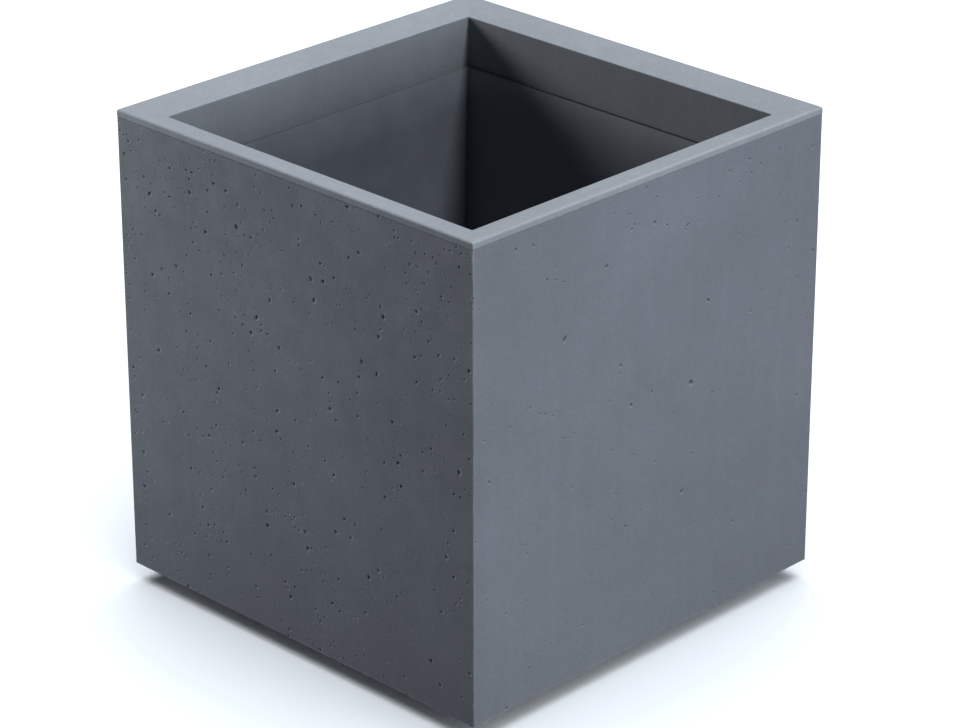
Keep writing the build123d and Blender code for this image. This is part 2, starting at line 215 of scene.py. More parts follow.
def startMaterial(name):
    material = bpy.data.materials.new(name)
    material.use_nodes = True
    tree = material.node_tree
    place = put(tree, "ShaderNodeTexCoord").outputs["Object"]
    return material, tree, tree.nodes["Principled BSDF"], place


def noise(tree, place, scale, detail=2.0, rough=0.5):
    inputs = {"Vector": place, "Scale": scale, "Detail": detail, "Roughness": rough}
    return put(tree, "ShaderNodeTexNoise", inputs).outputs["Fac"]


def remap(tree, value, low, high, toLow=0.0, toHigh=1.0):
    inputs = {"Value": value, "From Min": low, "From Max": high, "To Min": toLow, "To Max": toHigh}
    return put(tree, "ShaderNodeMapRange", inputs).outputs["Result"]


def calculate(tree, operation, a, b=0.0):
    return sha(tree, "Math", {0: a, 1: b}, operation=operation)


def times(tree, a, b):
    return calculate(tree, "MULTIPLY", a, b)


def mixColour(tree, amount, a, b, blend="MIX"):
    inputs = {0: amount, 6: a, 7: b}
    return put(tree, "ShaderNodeMix", inputs, data_type="RGBA", blend_type=blend).outputs[2]


def stretch(tree, place, scale):
    return sha(tree, "Mapping", {"Vector": place, "Scale": scale})


def relief(tree, layers):
    normal = None
    for height, distance in layers:
        inputs = {"Height": height, "Distance": distance, "Strength": 1.0}
        if normal:
            inputs["Normal"] = normal
        normal = put(tree, "ShaderNodeBump", inputs).outputs["Normal"]
    return normal


def colour(values):
    return (*values, 1)


def shade(values, factor):
    return (*[v * factor for v in values], 1)


def startTree(name, inputs):
    tree = bpy.data.node_groups.new(name, "GeometryNodeTree")
    tree.interface.new_socket("Geometry", in_out="INPUT", socket_type="NodeSocketGeometry")
    for label, kind in inputs.items():
        tree.interface.new_socket(label, in_out="INPUT", socket_type="NodeSocket" + kind)
    tree.interface.new_socket("Geometry", in_out="OUTPUT", socket_type="NodeSocketGeometry")
    return tree, put(tree, "NodeGroupInput").outputs


def endTree(tree, geometry, material=None):
    if material:
        geometry = geo(tree, "RealizeInstances", {"Geometry": geometry})
        geometry = geo(tree, "SetMaterial", {"Geometry": geometry, "Material": material})
    put(tree, "NodeGroupOutput", {"Geometry": geometry})


def runTree(piece, tree, values):
    modifier = piece.modifiers.new(tree.name, "NODES")
    modifier.node_group = tree
    for item in tree.interface.items_tree:
        if item.in_out == "INPUT" and item.name in values:
            modifier[item.identifier] = values[item.name]
    plainMesh(piece)


def plainMesh(piece):
    graph = bpy.context.evaluated_depsgraph_get()
    graph.update()
    mesh = bpy.data.meshes.new_from_object(piece.evaluated_get(graph), depsgraph=graph)
    piece.modifiers.clear()
    piece.data = mesh


def makePiece(name, points, faces=(), material=None, edges=()):
    mesh = bpy.data.meshes.new(name)
    mesh.from_pydata([tuple(p) for p in points], edges, faces)
    if material:
        mesh.materials.append(material)
    piece = bpy.data.objects.new(name, mesh)
    addToScene(piece)
    return piece


def tidyMesh(piece, smoothAngle=32):
    shape = bmesh.new()
    shape.from_mesh(piece.data)
    bmesh.ops.remove_doubles(shape, verts=shape.verts, dist=1e-6)
    bmesh.ops.recalc_face_normals(shape, faces=shape.faces)
    shape.to_mesh(piece.data)
    shape.free()
    piece.data.shade_smooth()
    piece.data.set_sharp_from_angle(angle=math.radians(smoothAngle))


def turnMesh(piece, degrees):
    piece.data.transform(Matrix.Rotation(math.radians(degrees), 4, "Z"))


def loft(name, rings, material, closed=False, smoothAngle=32):
    count = len(rings[0])
    points = [p for ring in rings for p in ring]
    faces = []
    pairs = len(rings) if closed else len(rings) - 1
    for i in range(pairs):
        a, b = i * count, (i + 1) % len(rings) * count
        for k in range(count):
            n = (k + 1) % count
            faces.append((a + k, a + n, b + n, b + k))
    if not closed:
        faces.append(tuple(range(count))[::-1])
        faces.append(tuple(range(len(points) - count, len(points))))
    piece = makePiece(name, points, faces, material)
    tidyMesh(piece, smoothAngle)
    return piece


def roundRing(radius, z, centre=(0, 0), count=48):
    turns = [2 * math.pi * k / count for k in range(count)]
    return [(centre[0] + radius * math.cos(t), centre[1] + radius * math.sin(t), z) for t in turns]


def turned(profile, centre=(0, 0), count=48):
    return [roundRing(r, z, centre, count) for r, z in profile]


def acrossCorners(flats):
    return flats / 2 / math.cos(math.pi / 6)


def hexRing(acrossFlats, roundTo, z, centre=(0, 0), count=48):
    ring = []
    for k in range(count):
        t = 2 * math.pi * k / count
        offFlat = (t + math.pi / 6) % (math.pi / 3) - math.pi / 6
        radius = min(acrossFlats / 2 / math.cos(offFlat), roundTo)
        ring.append((centre[0] + radius * math.cos(t), centre[1] + radius * math.sin(t), z))
    return ring


def squareRing(half, radius, z, arcSteps=6, sideSteps=1):
    ring = []
    centre = half - radius
    for quarter in range(4):
        turn = Matrix.Rotation(quarter * math.pi / 2, 2)
        arc = []
        for k in range(arcSteps + 1):
            t = k * math.pi / 2 / arcSteps
            arc.append(Vector((centre + radius * math.cos(t), centre + radius * math.sin(t))))
        nextStart = Matrix.Rotation(math.pi / 2, 2) @ arc[0]
        for k in range(1, sideSteps):
            arc.append(arc[arcSteps].lerp(nextStart, k / sideSteps))
        ring += [(*(turn @ p), z) for p in arc]
    return ring


def arcPoints(centre, radius, fromAngle, toAngle, steps):
    points = []
    for k in range(steps + 1):
        t = math.radians(fromAngle + (toAngle - fromAngle) * k / steps)
        points.append((centre[0] + radius * math.cos(t), centre[1] + radius * math.sin(t)))
    return points


def solidBoxes(node):
    shape = bmesh.new()
    shape.from_mesh(frame["nodes"][node].data)
    bmesh.ops.remove_doubles(shape, verts=shape.verts, dist=1e-6)
    left, boxes = set(shape.verts), []
    while left:
        queue, group = [left.pop()], []
        while queue:
            corner = queue.pop()
            group.append(corner.co.copy())
            for edge in corner.link_edges:
                other = edge.other_vert(corner)
                if other in left:
                    left.remove(other)
                    queue.append(other)
        ends = [Vector([pick(p[k] for p in group) for k in range(3)]) for pick in (min, max)]
        boxes.append(tuple(ends))
    shape.free()
    return sorted(boxes, key=lambda b: tuple(round(v, 4) for v in b[0]))


def fitPiece(piece, body, slotName, *nodes):
    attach(piece, body)
    if nodes:
        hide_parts(*nodes)


def buildPiece(name, rings, body, slotName, node, **shape):
    fitPiece(loft(name, rings, finishes[slotName], **shape), body, slotName, node)


# Materials

# Painted light in these looks: the panels are painted darker towards the floor (painted shade) and
# lighter along their lower edge (painted highlight); the pore hollows are painted darker (painted
# shade), and the lighter pore base gives the pore lips a painted highlight.
concreteLook = {
    "panel": {
        "base": (0.094, 0.105, 0.126), "grain": 0.10, "cloud": 0.10, "edge": 1.22, "footHighlight": 1.6,
        "tiny": 0.8, "depth": 1.0, "foot": 0.86
    },
    "pore": {
        "base": (0.150, 0.165, 0.192), "core": (0.062, 0.070, 0.083), "grain": 0.16, "cloud": 0.10,
        "edge": 1.0, "footHighlight": 1.0, "tiny": 0.3, "depth": 1.5, "foot": 0.86
    },
    "evenPore": {
        "base": (0.096, 0.107, 0.128), "core": (0.052, 0.059, 0.070), "grain": 0.16, "cloud": 0.10,
        "edge": 1.0, "footHighlight": 1.0, "tiny": 0.3, "depth": 1.5, "foot": 0.86
    },
    "rim": {
        "base": (0.146, 0.164, 0.187), "grain": 0.09, "cloud": 0.05, "edge": 1.15, "footHighlight": 1.0,
        "tiny": 0.2, "depth": 0.6, "foot": 1.0
    },
}


def makeConcrete(name, look):
    material, tree, shader, place = startMaterial(name)
    cloudy = noise(tree, place, 5.5, 4.0, 0.55)
    patchy = noise(tree, place, 38.0, 4.0, 0.6)
    grainy = noise(tree, place, 620.0, 3.0, 0.65)
    sandy = noise(tree, place, 1500.0, 2.0, 0.7)
    streaky = noise(tree, stretch(tree, place, (60, 60, 5)), 1.0, 3.0, 0.6)
    base = look["base"]
    tone = remap(tree, cloudy, 0.3, 0.7, 1 - look["cloud"], 1 + look["cloud"])
    tone = times(
        tree, tone, remap(tree, patchy, 0.3, 0.7, 1 - look["cloud"] / 2, 1 + look["cloud"] / 2)
    )
    tone = times(tree, tone, remap(tree, grainy, 0.3, 0.7, 1 - look["grain"], 1 + look["grain"]))
    tone = times(tree, tone, remap(tree, streaky, 0.35, 0.7, 0.975, 1.03))
    dusty = remap(tree, noise(tree, place, 140.0, 5.0, 0.7), 0.52, 0.75)
    tint = mixColour(
        tree, dusty, colour(base), shade((base[0] * 1.05, base[1] * 1.02, base[2]), 1.10)
    )
    axes = put(tree, "ShaderNodeSeparateXYZ", {0: place}).outputs
    across, along = (calculate(tree, "ABSOLUTE", axes[name]) for name in ("X", "Y"))
    # Each panel is painted darker towards its foot: painted shade near the floor.
    tone = times(tree, tone, remap(tree, axes["Z"], 0.04, 0.24, look["foot"], 1.0))
    # Pore hollows and chip cuts are painted darker the deeper they sink below the face: painted
    # shade in the recesses.
    if "core" in look:
        sunk = calculate(tree, "SUBTRACT", cadHigh.x, calculate(tree, "MAXIMUM", across, along))
        tint = mixColour(tree, remap(tree, sunk, 0.0002, 0.0008), tint, colour(look["core"]))
    # Tiny pinholes are painted darker where the bump sinks them: painted shade in the holes.
    specks = put(
        tree, "ShaderNodeTexVoronoi", {"Vector": place, "Scale": 420.0}
    ).outputs["Distance"]
    pinholes = remap(tree, specks, 0.10, 0.22, 1 - look["tiny"] * 0.55, 1.0)
    chosen = remap(tree, noise(tree, place, 24.0, 2.0), 0.52, 0.60)
    pinholes = mixColour(tree, chosen, colour((1, 1, 1)), pinholes)
    tint = mixColour(tree, 1.0, tint, pinholes, "MULTIPLY")

    # Corners rub lighter, where |x| and |y| both come near the faces. The lower edge is painted
    # lighter too: a painted highlight along the foot arris.
    nearer = calculate(tree, "MINIMUM", across, along)
    atCorner = remap(tree, nearer, cadHigh.x - 0.0026, cadHigh.x - 0.0008)
    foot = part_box("panel_front")[0].z
    lowerEdgeHighlight = remap(tree, axes["Z"], foot + 0.0020, foot + 0.0010)
    wearAndHighlightNoise = remap(tree, noise(tree, place, 90.0, 3.0), 0.30, 0.62)
    for where, lighter in ((atCorner, look["edge"]), (lowerEdgeHighlight, look["footHighlight"])):
        wearAndHighlight = times(tree, where, wearAndHighlightNoise)
        tone = times(tree, tone, remap(tree, wearAndHighlight, 0.0, 1.0, 1.0, lighter))
    tint = mixColour(tree, 1.0, tint, tone, "MULTIPLY")
    tree.links.new(tint, shader.inputs["Base Color"])
    tree.links.new(remap(tree, patchy, 0.3, 0.7, 0.72, 0.88), shader.inputs["Roughness"])
    shader.inputs["Specular IOR Level"].default_value = 0.35
    depth = look["depth"]
    layers = [
        (patchy, 0.0005 * depth), (grainy, 0.00022 * depth), (sandy, 0.0001 * depth),
        (pinholes, 0.0002 * depth)
    ]
    tree.links.new(relief(tree, layers), shader.inputs["Normal"])
    return material


coatLook = {
    # The liner's top edge is painted darker, and the tub darker towards its floor: painted shade in
    # both.
    "liner": {
        "base": (0.108, 0.122, 0.146), "rough": (0.46, 0.60), "peel": 0.00006, "dust": 0.06,
        "shadedLipDrop": 0.0010, "deepShade": (0.06, 0.30)
    },
    "plinth": {"base": (0.012, 0.012, 0.014), "rough": (0.42, 0.55), "peel": 0.00005, "dust": 0.10},
    "plastic": {
        "base": (0.020, 0.021, 0.023), "rough": (0.50, 0.66), "peel": 0.00003, "dust": 0.06
    },
    "rubber": {"base": (0.014, 0.014, 0.014), "rough": (0.78, 0.92), "peel": 0.00008, "dust": 0.10},
}


def makeCoat(name, look):
    material, tree, shader, place = startMaterial(name)
    peel = noise(tree, place, 950.0, 2.0, 0.5)
    blotch = noise(tree, place, 16.0, 4.0, 0.6)
    base = look["base"]
    dusty = times(tree, remap(tree, noise(tree, place, 55.0, 6.0, 0.7), 0.48, 0.75), look["dust"])
    tint = mixColour(tree, remap(tree, blotch, 0.35, 0.65), shade(base, 0.93), shade(base, 1.07))
    tint = mixColour(tree, dusty, tint, colour((0.24, 0.24, 0.24)))
    if "shadedLipDrop" in look:
        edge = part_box("liner_tub")[1]
        axes = put(tree, "ShaderNodeSeparateXYZ", {0: place}).outputs
        reach = calculate(
            tree, "MAXIMUM", calculate(tree, "ABSOLUTE", axes["X"]),
            calculate(tree, "ABSOLUTE", axes["Y"])
        )
        height = calculate(
            tree, "ADD", axes["Z"],
            remap(tree, noise(tree, place, 210.0, 3.0), 0.0, 1.0, -0.0004, 0.0004)
        )
        # The sheet's top edge is painted darker and made rougher: painted shade on the lip.
        lip = remap(
            tree, height, edge.z - look["shadedLipDrop"] - 0.0002, edge.z - look["shadedLipDrop"] + 0.0002
        )
        lip = times(tree, lip, remap(tree, reach, edge.x - 0.0018, edge.x - 0.0016))
        tint = mixColour(tree, lip, tint, shade(base, 0.27))
        # The tub is painted darker towards its floor, except on the outside of its walls: painted
        # shade deep inside.
        unshaded = calculate(
            tree, "MAXIMUM", remap(tree, height, *look["deepShade"]),
            remap(tree, reach, edge.x - 0.0011, edge.x - 0.0009)
        )
        deepShade = mixColour(tree, unshaded, colour((0.42, 0.42, 0.43)), colour((1, 1, 1)))
        tint = mixColour(tree, 1.0, tint, deepShade, "MULTIPLY")
    tree.links.new(tint, shader.inputs["Base Color"])
    rough = remap(tree, blotch, 0.3, 0.7, *look["rough"])
    if "shadedLipDrop" in look:
        rough = calculate(tree, "MAXIMUM", rough, times(tree, lip, 0.95))
    tree.links.new(rough, shader.inputs["Roughness"])
    tree.links.new(relief(tree, [(blotch, 0.0004), (peel, look["peel"])]), shader.inputs["Normal"])
    return material


metalLook = {
    "galvanised": {
        "base": (0.50, 0.53, 0.55), "rough": (0.34, 0.58), "spangle": 95.0, "brush": 0.0
    },
    "zinc": {"base": (0.60, 0.61, 0.62), "rough": (0.22, 0.36), "spangle": 0.0, "brush": 1.0},
    "brass": {"base": (0.62, 0.43, 0.17), "rough": (0.22, 0.34), "spangle": 0.0, "brush": 1.0},
    "stainless": {"base": (0.20, 0.20, 0.198), "rough": (0.56, 0.68), "spangle": 0.0, "brush": 1.0},
}


def makeMetal(name, look):
    material, tree, shader, place = startMaterial(name)
    smudge = noise(tree, place, 30.0, 4.0, 0.6)
    fine = noise(tree, stretch(tree, place, (300, 300, 2600)), 1.0, 2.0, 0.6)
    base = look["base"]
    tint = mixColour(tree, remap(tree, smudge, 0.35, 0.65), shade(base, 0.88), shade(base, 1.08))
    rough = remap(tree, smudge, 0.3, 0.7, *look["rough"])
    layers = [(smudge, 0.00006)]
    if look["spangle"]:
        crystals = put(
            tree, "ShaderNodeTexVoronoi", {"Vector": place, "Scale": look["spangle"]}
        ).outputs["Color"]
        flake = sha(tree, "SeparateColor", {0: crystals})
        tint = mixColour(tree, 1.0, tint, remap(tree, flake, 0.0, 1.0, 0.78, 1.1), "MULTIPLY")
        rough = calculate(tree, "ADD", rough, remap(tree, flake, 0.0, 1.0, -0.08, 0.10))
    if look["brush"]:
        layers.append((fine, 0.00003))
        rough = calculate(tree, "ADD", rough, remap(tree, fine, 0.3, 0.7, -0.05, 0.08))
    tree.links.new(tint, shader.inputs["Base Color"])
    tree.links.new(rough, shader.inputs["Roughness"])
    shader.inputs["Metallic"].default_value = 1.0
    tree.links.new(relief(tree, layers), shader.inputs["Normal"])
    return material


foamLook = {"base": (0.50, 0.60, 0.66), "beadScale": 260.0}
boardLook = {"base": (0.36, 0.36, 0.34), "fibreScale": (420, 60, 420)}


def makeFoam(name):
    material, tree, shader, place = startMaterial(name)
    beads = put(
        tree, "ShaderNodeTexVoronoi", {"Vector": place, "Scale": foamLook["beadScale"]}
    ).outputs
    # Bead borders, where the bump sinks, are painted darker: painted shade in the creases.
    edge = remap(tree, beads["Distance"], 0.15, 0.55)
    tint = mixColour(tree, edge, colour(foamLook["base"]), shade(foamLook["base"], 0.74))
    tint = mixColour(
        tree, remap(tree, noise(tree, place, 12.0, 3.0), 0.3, 0.7, 0.0, 0.25), tint,
        shade(foamLook["base"], 0.85)
    )
    tree.links.new(tint, shader.inputs["Base Color"])
    tree.links.new(remap(tree, edge, 0.0, 1.0, 0.62, 0.85), shader.inputs["Roughness"])
    tree.links.new(
        relief(tree, [(calculate(tree, "SUBTRACT", 1.0, edge), 0.0004)]), shader.inputs["Normal"]
    )
    return material


def makeBoard(name):
    material, tree, shader, place = startMaterial(name)
    fibres = noise(tree, stretch(tree, place, boardLook["fibreScale"]), 1.0, 3.0, 0.7)
    mottle = noise(tree, place, 45.0, 5.0, 0.65)
    tint = mixColour(
        tree, remap(tree, mottle, 0.3, 0.7), shade(boardLook["base"], 0.82),
        shade(boardLook["base"], 1.12)
    )
    tint = mixColour(
        tree, remap(tree, fibres, 0.55, 0.75, 0.0, 0.5), tint, shade(boardLook["base"], 1.35)
    )
    tree.links.new(tint, shader.inputs["Base Color"])
    tree.links.new(remap(tree, fibres, 0.3, 0.7, 0.75, 0.92), shader.inputs["Roughness"])
    tree.links.new(relief(tree, [(mottle, 0.0003), (fibres, 0.0002)]), shader.inputs["Normal"])
    return material


finishes = {
    "pored_concrete": makeConcrete("poredConcrete", concreteLook["panel"]),
    "smooth_concrete": makeConcrete("smoothConcrete", concreteLook["rim"]),
    "cement_board": makeBoard("cementBoard"),
    "galvanised_tube": makeMetal("galvanisedTube", metalLook["galvanised"]),
    "plinth_coat": makeCoat("plinthCoat", coatLook["plinth"]),
    "liner_coat": makeCoat("linerCoat", coatLook["liner"]),
    "insulation_foam": makeFoam("insulationFoam"),
    "zinc_hardware": makeMetal("zincHardware", metalLook["zinc"]),
    "insert_brass": makeMetal("insertBrass", metalLook["brass"]),
    "stainless_sheet": makeMetal("stainlessSheet", metalLook["stainless"]),
    "foot_plastic": makeCoat("footPlastic", coatLook["plastic"]),
    "sole_rubber": makeCoat("soleRubber", coatLook["rubber"]),
}
# A lighter base gives the pore lips a painted highlight, and the hollows are painted darker
# (painted shade); the corner chips take this material too.
poreConcrete = makeConcrete("poreConcrete", concreteLook["pore"])
# The same painted shade in the hollows, but the lips keep the panel's tone, with no painted
# highlight.
evenPoreConcrete = makeConcrete("evenPoreConcrete", concreteLook["evenPore"])

for row in frame["record"]["subparts"]:
    node = frame["nodes"][row["node"]]
    node.data.materials.clear()
    node.data.materials.append(finishes[row["material_slot"]])
print("materials made:", len(finishes) + 1)


# Concrete panels

panelLook = {
    "arris": 0.0015,
    "jointArris": 0.0004,  # along the top edge, under the rim
    "footArris": 0.0005,
    "poreFlatness": (0.75, 1.15),
    "poreHeight": (1.0, 1.7),  # longer upwards than across
    "driftScale": 23.0,
    "drift": (0.46, 0.59),
    "betweenDrifts": 0.05,
    "seed": 7,
}
# Radius and height of one hollow for a core radius of 1: a shallow lip, then the core.
poreProfile = [(1.0, 0.6), (2.3, 0.30), (1.85, 0.0), (1.0, -0.36), (0.78, -0.66), (0.40, -0.92)]
# for the smallest classes, with fewer sides
plainProfile = [(1.0, 0.6), (2.3, 0.30), (1.85, 0.0), (1.0, -0.36), (0.45, -0.90)]
# A class's spacing is over twice its longest pore, so that no two pores of one class meet. Classes
# may overlap.
poreClasses = {
    "large": {"radius": (0.0011, 0.0017), "spacing": 0.0125},
    "middle": {"radius": (0.0006, 0.0011), "spacing": 0.0084},
    "mixed": {"radius": (0.0005, 0.0010), "spacing": 0.0080},
    "small": {"radius": (0.00036, 0.0006), "spacing": 0.0048, "plain": True},
    "fine": {"radius": (0.00034, 0.0006), "spacing": 0.0048, "plain": True},
}
poresPerArea = {
    "front": {"large": 1250.0, "middle": 5200.0, "mixed": 4600.0, "small": 9000.0, "fine": 7500.0},
    "right": {"large": 100.0, "middle": 900.0, "mixed": 800.0, "small": 1900.0, "fine": 1500.0},
    "back": {"large": 800.0, "middle": 3400.0, "mixed": 3000.0, "small": 6000.0, "fine": 5000.0},
    "left": {"large": 600.0, "middle": 2600.0, "mixed": 2200.0, "small": 5000.0, "fine": 4000.0},
}
poreDepths = {"front": 1.0, "right": 0.8, "back": 0.95, "left": 0.9}
chipLook = {
    "spacing": 0.0075,
    "share": 0.30,
    "radius": (0.0003, 0.0013),
    "seed": 11,
    # depth below the rim's foot and radius, on the front right corner
    "knocks": [(0.0478, 0.0021), (0.0530, 0.0012), (0.2310, 0.0016)],
}


def chipTree():
    tree, given = startTree(
        "arrisChips",
        {
            "Spacing": "Float", "Share": "Float", "Smallest": "Float", "Largest": "Float",
            "Seed": "Int"
        }
    )
    line = geo(tree, "MeshToCurve", {"Mesh": given["Geometry"]})
    points = put(
        tree, "GeometryNodeCurveToPoints", {"Curve": line, "Length": given["Spacing"]},
        mode="LENGTH"
    ).outputs["Points"]
    keep = put(
        tree, "FunctionNodeRandomValue", {"Probability": given["Share"], "Seed": given["Seed"]},
        data_type="BOOLEAN"
    ).outputs[3]
    size = randomSize(tree, 0.0, 1.0, given["Seed"])
    size = calculate(tree, "POWER", size, 3.0)
    size = sha(
        tree, "MapRange", {"Value": size, "To Min": given["Smallest"], "To Max": given["Largest"]}
    )
    scale = sha(tree, "CombineXYZ", {"X": size, "Y": size, "Z": size})
    blob = geo(tree, "MeshIcoSphere", {"Radius": 1.0, "Subdivisions": 2})
    spin = fun(
        tree, "RandomValue", {0: (0, 0, 0), 1: (6, 6, 6), "Seed": given["Seed"]},
        data_type="FLOAT_VECTOR"
    )
    spin = fun(tree, "EulerToRotation", {0: spin})
    blobs = geo(
        tree, "InstanceOnPoints",
        {"Points": points, "Selection": keep, "Instance": blob, "Rotation": spin, "Scale": scale}
    )
    endTree(tree, roughen(tree, blobs, 900.0, 0.0006), poreConcrete)
    return tree


def roughen(tree, instances, scale, distance):
    whole = geo(tree, "RealizeInstances", {"Geometry": instances})
    wobble = put(tree, "ShaderNodeTexNoise", {"Scale": scale, "Detail": 1.0}).outputs["Color"]
    wobble = sha(tree, "VectorMath", {0: wobble, 1: (0.5, 0.5, 0.5)}, operation="SUBTRACT")
    wobble = sha(tree, "VectorMath", {0: wobble, "Scale": distance}, operation="SCALE")
    return geo(tree, "SetPosition", {"Geometry": whole, "Offset": wobble})


def poreTree():
    tree, given = startTree("castPores", {
        "Outward": "Vector", "Face Turn": "Vector", "Reach": "Float", "Pores per Area": "Float",
        "Spacing": "Float",
        "Smallest": "Float", "Largest": "Float", "Depth": "Float", "Hollow": "Object",
        "Seed": "Int",
    })
    position = geo(tree, "InputPosition")
    reached = put(
        tree, "ShaderNodeVectorMath", {0: position, 1: given["Outward"]}, operation="DOT_PRODUCT"
    ).outputs["Value"]
    outer = fun(tree, "Compare", {0: reached, 1: given["Reach"]}, operation="GREATER_THAN")
    # Pores come in drifts, so a soft noise thins them between the drifts.
    drift = put(
        tree, "ShaderNodeTexNoise",
        {"Scale": panelLook["driftScale"], "Detail": 3.0, "Roughness": 0.6}
    ).outputs["Fac"]
    thin, full = panelLook["drift"]
    drift = sha(
        tree, "MapRange",
        {"Value": drift, "From Min": thin, "From Max": full, "To Min": panelLook["betweenDrifts"]}
    )
    points = put(tree, "GeometryNodeDistributePointsOnFaces", {
        "Mesh": given["Geometry"], "Selection": outer, "Distance Min": given["Spacing"],
        "Density Max": given["Pores per Area"],
        "Density Factor": drift, "Seed": given["Seed"],
    }, distribute_method="POISSON").outputs["Points"]

    def random(low, high, step):
        seed = fun(tree, "IntegerMath", {0: given["Seed"], 1: step}, operation="ADD")
        return randomSize(tree, low, high, seed)

    size = calculate(tree, "POWER", random(0.0, 1.0, 1), 1.6)
    size = sha(
        tree, "MapRange", {"Value": size, "To Min": given["Smallest"], "To Max": given["Largest"]}
    )
    tall = times(tree, size, random(*panelLook["poreHeight"], 2))
    deep = times(tree, size, times(tree, given["Depth"], random(*panelLook["poreFlatness"], 3)))
    scale = sha(tree, "CombineXYZ", {"X": size, "Y": tall, "Z": deep})
    turn = fun(tree, "EulerToRotation", {0: given["Face Turn"]})
    lean = sha(tree, "CombineXYZ", {"Z": random(-0.9, 0.9, 4)})
    lean = fun(tree, "EulerToRotation", {0: lean})
    turn = fun(tree, "RotateRotation", {0: turn, 1: lean}, rotation_space="LOCAL")
    hollow = put(tree, "GeometryNodeObjectInfo", {"Object": given["Hollow"]}).outputs["Geometry"]
    pores = geo(
        tree, "InstanceOnPoints",
        {"Points": points, "Instance": hollow, "Rotation": turn, "Scale": scale}
    )
    wobble = sha(tree, "Math", {0: given["Largest"], 1: 0.45}, operation="MULTIPLY")
    cut = put(
        tree, "GeometryNodeMeshBoolean",
        {0: given["Geometry"], 1: roughen(tree, pores, 420.0, wobble)}, operation="DIFFERENCE",
        solver="MANIFOLD"
    )
    endTree(tree, cut.outputs[0])
    return tree


def cutTree():
    tree, given = startTree("cutChips", {"Chips": "Object"})
    chips = put(tree, "GeometryNodeObjectInfo", {"Object": given["Chips"]}).outputs["Geometry"]
    cut = geo(
        tree, "MeshBoolean", {0: given["Geometry"], 1: chips}, operation="DIFFERENCE",
        solver="MANIFOLD"
    )
    endTree(tree, cut)
    return tree


def panelBlank(side, turn):
    low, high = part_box(f"panel_{side}")
    half = cadHigh.x
    inside = -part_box("panel_front")[1].y
    arris, joint, foot = panelLook["arris"], panelLook["jointArris"], panelLook["footArris"]

    def outline(inset, z):
        bend = arris * (1 - math.sin(math.radians(22.5)))
        lift = arris * (1 - math.cos(math.radians(22.5)))
        reach = arris * (1 - math.cos(math.radians(45)))
        left = [
            (-half + reach, -half + max(inset, reach)), (-half + bend, -half + max(inset, lift)),
            (-half + arris, -half + inset)
        ]
        right = [(-x, y) for x, y in reversed(left)]
        return [(x, y, z) for x, y in [*left, *right, (inside, -inside), (-inside, -inside)]]

    rings = [
        outline(foot, low.z), outline(foot * 0.30, low.z + foot * 0.30), outline(0, low.z + foot),
        outline(0, high.z - joint), outline(joint, high.z),
    ]
    blank = loft(f"concretePanel{side.capitalize()}", rings, finishes["pored_concrete"])
    turnMesh(blank, turn)
    return blank


def shadePanel(piece):
    shape = bmesh.new()
    shape.from_mesh(piece.data)
    for face in shape.faces:
        flat = max(abs(v) for v in face.normal) > 0.9995 and face.material_index == 0
        face.smooth = not flat
    for edge in shape.edges:
        kinds = {f.material_index for f in edge.link_faces}
        edge.smooth = len(kinds) == 1
    shape.to_mesh(piece.data)
    shape.free()


def addKnocks(chips, half, top):
    shape = bmesh.new()
    shape.from_mesh(chips.data)
    for drop, radius in chipLook["knocks"]:
        beside = Matrix.Translation((half + radius * 0.2, -half - radius * 0.2, top - drop))
        place = beside @ Matrix.Rotation(0.6, 4, "X")
        bmesh.ops.create_icosphere(
            shape, subdivisions=2, radius=radius,
            matrix=place @ Matrix.Diagonal((1.0, 0.8, 1.4, 1.0))
        )
    shape.to_mesh(chips.data)
    shape.free()


def makePanels():
    half, low, high = cadHigh.x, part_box("panel_front")[0].z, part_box("panel_front")[1].z
    lines, edges = [], []
    for x, y in ((half, -half), (half, half), (-half, half), (-half, -half)):
        edges.append((len(lines), len(lines) + 1))
        lines += [(x, y, low + 0.004), (x, y, high - 0.004)]
    chips = makePiece("arrisLines", lines, edges=edges)
    runTree(chips, chipTree(), {
        "Spacing": chipLook["spacing"], "Share": chipLook["share"], "Seed": chipLook["seed"],
        "Smallest": chipLook["radius"][0], "Largest": chipLook["radius"][1],
    })
    addKnocks(chips, half, high)
    pores, cuts = poreTree(), cutTree()
    for index, (side, turn) in enumerate(sides.items()):
        panel = panelBlank(side, turn)
        # the smoothest side has no painted highlight on its pore lips
        finish = evenPoreConcrete if side == "right" else poreConcrete
        hollow = loft("poreHollow", turned(reversed(poreProfile), count=10), finish)
        plainHollow = loft("plainHollow", turned(reversed(plainProfile), count=7), finish)
        panel.data.materials.append(finish)
        outward = Matrix.Rotation(math.radians(turn), 3, "Z") @ Vector((0, -1, 0))
        for step, (kind, look) in enumerate(poreClasses.items()):
            runTree(panel, pores, {
                "Outward": outward, "Face Turn": (
                    math.pi / 2, 0, math.radians(turn)
                ), "Reach": half - 0.00002,
                "Pores per Area": poresPerArea[side][kind], "Spacing": look["spacing"],
                "Smallest": look["radius"][0], "Largest": look["radius"][1],
                "Depth": poreDepths[side],
                "Hollow": plainHollow if look.get("plain") else hollow,
                "Seed": panelLook["seed"] + index * 60 + step * 10,
            })
        runTree(panel, cuts, {"Chips": chips})
        bpy.data.objects.remove(hollow)
        bpy.data.objects.remove(plainHollow)
        shadePanel(panel)
        fitPiece(panel, "shell", "pored_concrete", f"panel_{side}")
        print("panel", side, len(panel.data.polygons), "faces")
    bpy.data.objects.remove(chips)


# Rim collar

rimLook = {
    "fasciaHeight": 0.0085,
    "fall": 0.009,  # the top falls inward by this much
    "rounding": 0.0025,
    "mouthRounding": 0.0012,
    "outerCorner": 0.0009,
    "mouthCorner": 0.0018,
    "footArris": 0.0005,
}


